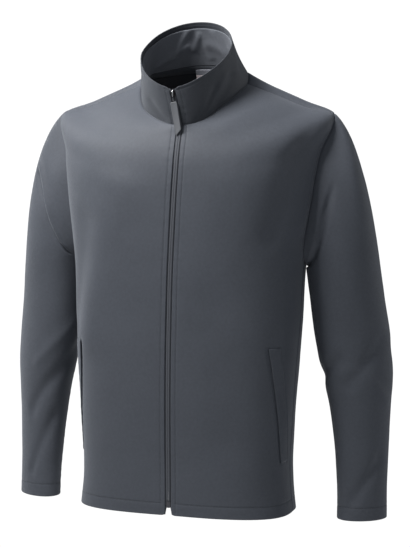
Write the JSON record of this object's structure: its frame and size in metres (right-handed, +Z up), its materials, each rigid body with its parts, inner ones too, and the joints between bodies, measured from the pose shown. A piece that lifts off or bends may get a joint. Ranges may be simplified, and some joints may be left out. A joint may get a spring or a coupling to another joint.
{
  "type": "softshell jacket",
  "caption": "Men's zip-through softshell jacket with stand collar and side welt pockets, filled out hollow as worn, with a swinging zip pull.",
  "frame": {"origin": "centre of the neck's base, level with the side neck points, where the wearer's neck holds the jacket", "axes": "+X to the wearer's left, -Y out of the front, +Z up to the neck opening"},
  "size_m": [0.6424, 0.2314, 0.7872],
  "materials": {
    "softshell": "fine plain weave, soft matt sheen",
    "inner_fleece": "smooth-faced fleece backing",
    "zip_tape": "woven twill tape",
    "nickel": "bright nickel",
    "black_metal": "satin black",
    "grey_rubber": "moulded, satin",
    "label": "woven satin label"
  },
  "bodies": {
    "jacket": {"front_left": "softshell", "front_right": "softshell", "back": "softshell", "sleeve_left": "softshell", "sleeve_right": "softshell", "collar": "softshell", "collar_facing": "inner_fleece", "pocket_welt_left": "softshell", "pocket_welt_right": "softshell", "zip_tape_left": "zip_tape", "zip_tape_right": "zip_tape", "zip_box": "black_metal", "zip_slider": "nickel", "neck_label": "label"},
    "pull": {"pull_link": "black_metal", "pull_tab": "grey_rubber"}
  },
  "joints": [
    {"name": "zip_pull_swing", "type": "hinge", "parent": "jacket", "child": "pull", "pos_m": [0, -0.08127, -0.02592], "axis": [-1, 0, 0], "range_deg": [0, 150]}
  ]
}
